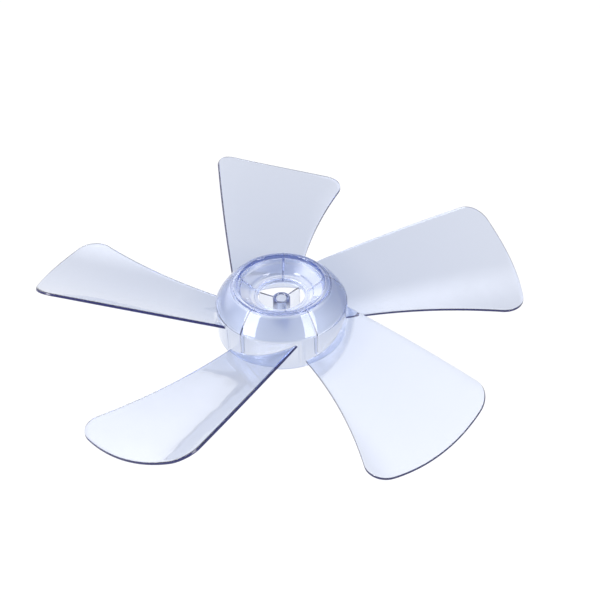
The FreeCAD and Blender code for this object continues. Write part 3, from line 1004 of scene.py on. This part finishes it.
def clear_plastic():
    material = bpy.data.materials.new("tinted_plastic")
    tree = new_tree(material)
    skin = dark_edges(tree, clear_skin(tree))
    through = skin.node("ShaderNodeBsdfTransparent", sockets={"Color": SHADOW_TINT})
    lamp_ray = skin.node("ShaderNodeLightPath", output="Is Shadow Ray")
    surface = skin.node("ShaderNodeMixShader", sockets={0: lamp_ray, 1: skin, 2: through})
    volume = skin.node("ShaderNodeVolumeAbsorption", sockets={"Color": TINT, "Density": TINT_DENSITY})
    finish_tree(tree, "ShaderNodeOutputMaterial", Surface=surface, Volume=volume)
    return material


moulding.data.materials.clear()
moulding.data.materials.append(clear_plastic())

# %% [markdown]
# ## The camera
#
# The picture is taken from about forty degrees above the table with a long lens. The camera could be aimed
# with a Track To constraint, but the hub isn't in the middle of the picture and the camera is rolled a
# little. So its matrix is worked out from the distance and direction of the hub, and from the pixel
# where the hub's middle is seen.

# %% The view's directions
TURN = math.radians(10.57)
RIGHT = Vector((math.cos(TURN), -math.sin(TURN), 0))
AWAY = Vector((math.sin(TURN), math.cos(TURN), 0))
UP = Vector((0, 0, 1))
print("away from the camera is", [round(v, 3) for v in AWAY])

# %% Camera
IMAGE_SIZE = 600
FOCAL_PIXELS = 1829.3
HUB_PIXEL = (282.35, 325.26)
DISTANCE = 1.3411
AIM_HEIGHT = -0.0065
ELEVATION = math.radians(39.93)
ROLL = -0.02524
SENSOR_WIDTH = 36


def make_camera():
    forward = AWAY * math.cos(ELEVATION) - UP * math.sin(ELEVATION)
    level_up = AWAY * math.sin(ELEVATION) + UP * math.cos(ELEVATION)
    right = RIGHT * math.cos(ROLL) + level_up * math.sin(ROLL)
    up = level_up * math.cos(ROLL) - RIGHT * math.sin(ROLL)
    pixel = DISTANCE / FOCAL_PIXELS
    across = (HUB_PIXEL[0] - IMAGE_SIZE / 2) * pixel
    above = (IMAGE_SIZE / 2 - HUB_PIXEL[1]) * pixel
    place = UP * AIM_HEIGHT - forward * DISTANCE - right * across - up * above
    data = bpy.data.cameras.new("camera")
    data.sensor_width = SENSOR_WIDTH
    data.lens = SENSOR_WIDTH * FOCAL_PIXELS / IMAGE_SIZE
    camera = bpy.data.objects.new("camera", data)
    camera.matrix_world = Matrix((
        (right.x, up.x, -forward.x, place.x),
        (right.y, up.y, -forward.y, place.y),
        (right.z, up.z, -forward.z, place.z),
        (0, 0, 0, 1),
    ))
    bpy.context.scene.collection.objects.link(camera)
    bpy.context.scene.camera = camera
    print("camera at", [round(v, 3) for v in place], "lens", round(data.lens, 1))


make_camera()

# %% [markdown]
# ## The table
#
# The fan lies on a white table. Lamps that make its paper white would burn out the plastic, so rays that
# come from the camera, or through or off the plastic, see most of the table as plain white light. It stays
# white to the picture's edge, and the rest of it takes light and shade and keeps the fan's shadow.

# %% Table
TABLE_SIZE = 8.0
GLOW_SHARE = 0.88
WHITE = (1, 1, 1, 1)
PAPER = (0.85, 0.85, 0.85, 1)


def white_table():
    material = bpy.data.materials.new("white_table")
    tree = new_tree(material)
    paper = add_node(tree, "ShaderNodeBsdfDiffuse", sockets={"Color": PAPER})
    glow = add_node(tree, "ShaderNodeEmission", sockets={"Color": WHITE, "Strength": 1.0})
    seen = [add_node(tree, "ShaderNodeLightPath", output=f"Is {kind} Ray")
            for kind in ("Camera", "Glossy", "Transmission")]
    share = (seen[0] + seen[1] + seen[2]) * GLOW_SHARE
    surface = paper.node("ShaderNodeMixShader", sockets={0: share, 1: paper, 2: glow})
    finish_tree(tree, "ShaderNodeOutputMaterial", Surface=surface)
    return material


def make_table():
    bm = bmesh.new()
    bmesh.ops.create_grid(bm, x_segments=1, y_segments=1, size=TABLE_SIZE / 2)
    bmesh.ops.translate(bm, verts=bm.verts[:], vec=(0, 0, FOOT))
    table = new_piece("table", bm)
    table.data.materials.append(white_table())


make_table()

# %% [markdown]
# ## Soft boxes
#
# Clear things show their surroundings, so a lamp is placed by where its mirror image falls. Two tall soft
# boxes, left and right of the camera, draw the two bright bands down the shoulder. A sun lamp would light
# the fan as well, but its mirror image is only a dot.

# %% Two soft boxes


def towards(azimuth, elevation):
    """A way out from the hub, by degrees from straight away to the right, and up."""
    a = math.radians(azimuth)
    e = math.radians(elevation)
    return (AWAY * math.cos(a) + RIGHT * math.sin(a)) * math.cos(e) + UP * math.sin(e)


def soft_box(name, azimuth, elevation, distance, width, height, watts, roll):
    """An area lamp that faces the hub."""
    way = towards(azimuth, elevation)
    data = bpy.data.lights.new(name, "AREA")
    data.shape = "RECTANGLE"
    data.size = width
    data.size_y = height
    data.energy = watts
    lamp = bpy.data.objects.new(name, data)
    lamp.location = way * distance
    turn = Matrix.Rotation(math.radians(roll), 3, "Z")
    lamp.rotation_euler = ((-way).to_track_quat("-Z", "Y").to_matrix() @ turn).to_euler()
    bpy.context.scene.collection.objects.link(lamp)
    print(name, [round(v, 2) for v in lamp.location])


soft_box("left_box", azimuth=-119, elevation=32, distance=1.6, width=0.65, height=1.4, watts=26, roll=20)
soft_box("right_box", azimuth=127, elevation=32, distance=1.6, width=0.6, height=1.4, watts=20, roll=-20)

# %% [markdown]
# ## The surroundings
#
# The wide blades mirror the room: a bright horizon, a dimmer ceiling, and one large window beyond the
# fan on the left, which gives the front blades their white sheen. The window could be a third soft box,
# but a lamp's mirror image ends in a hard line. Painted into the world, its edges fade. A direction is
# turned into a place on the window's plane by three dot products, as a camera turns a point into a pixel.

# %% The room's values
WINDOW_AZIMUTH = -41
WINDOW_ELEVATION = 39
WINDOW_LEAN = math.radians(10)
WINDOW_REACH = (0.52, 0.76)
WINDOW_FEATHER = (0.20, 0.22)
WINDOW_LIGHT = 2.4
HORIZON = 1.0
CEILING = 0.4
CEILING_RISE = 0.7
QUARTER_TURN = 90

WINDOW_MIDDLE = towards(WINDOW_AZIMUTH, WINDOW_ELEVATION)
LEVEL = towards(WINDOW_AZIMUTH + QUARTER_TURN, 0)
UPRIGHT = LEVEL.cross(WINDOW_MIDDLE)
WINDOW_SIDES = (LEVEL * math.cos(WINDOW_LEAN) - UPRIGHT * math.sin(WINDOW_LEAN),
                UPRIGHT * math.cos(WINDOW_LEAN) + LEVEL * math.sin(WINDOW_LEAN))
print("the window's middle lies towards", [round(v, 3) for v in WINDOW_MIDDLE])

# %% Window and haze


def along(way, direction):
    """How far a way goes along a direction."""
    return way.node("ShaderNodeVectorMath", {"operation": "DOT_PRODUCT"},
                    {0: way, 1: direction}, output="Value")


def ease(value, start, end):
    """A soft step from 0 at start to 1 at end."""
    return value.node("ShaderNodeMapRange", {"interpolation_type": "SMOOTHSTEP"},
                      {"Value": value, "From Min": start, "From Max": end})


def surroundings():
    world = bpy.data.worlds.new("studio")
    tree = new_tree(world)
    way = add_node(tree, "ShaderNodeTexCoord", output="Generated")
    ahead = along(way, WINDOW_MIDDLE)
    window = ahead.math("GREATER_THAN", ahead, 0)
    for side, reach, feather in zip(WINDOW_SIDES, WINDOW_REACH, WINDOW_FEATHER):
        offset = along(way, side) / ahead
        window = window * ease(offset.math("ABSOLUTE", offset, 0), reach + feather, reach - feather)
    haze = CEILING + (HORIZON - CEILING) * (1 - ease(along(way, UP), 0, CEILING_RISE))
    sky = way.node("ShaderNodeBackground", sockets={
        "Color": WHITE, "Strength": haze + WINDOW_LIGHT * window})
    finish_tree(tree, "ShaderNodeOutputWorld", Surface=sky)
    bpy.context.scene.world = world


surroundings()

# %% [markdown]
# ## Hand over
#
# Light in a clear body is turned back many times before it comes out. A renderer that stops too soon leaves
# black specks in the hub, so it is allowed more turns. The colours are shown as they are, without a film
# look.

# %% Hand over
LIGHT_TURNS = 24

scene = bpy.context.scene
scene.view_settings.view_transform = "Standard"
scene.cycles.max_bounces = LIGHT_TURNS
scene.cycles.glossy_bounces = LIGHT_TURNS
scene.cycles.transmission_bounces = LIGHT_TURNS
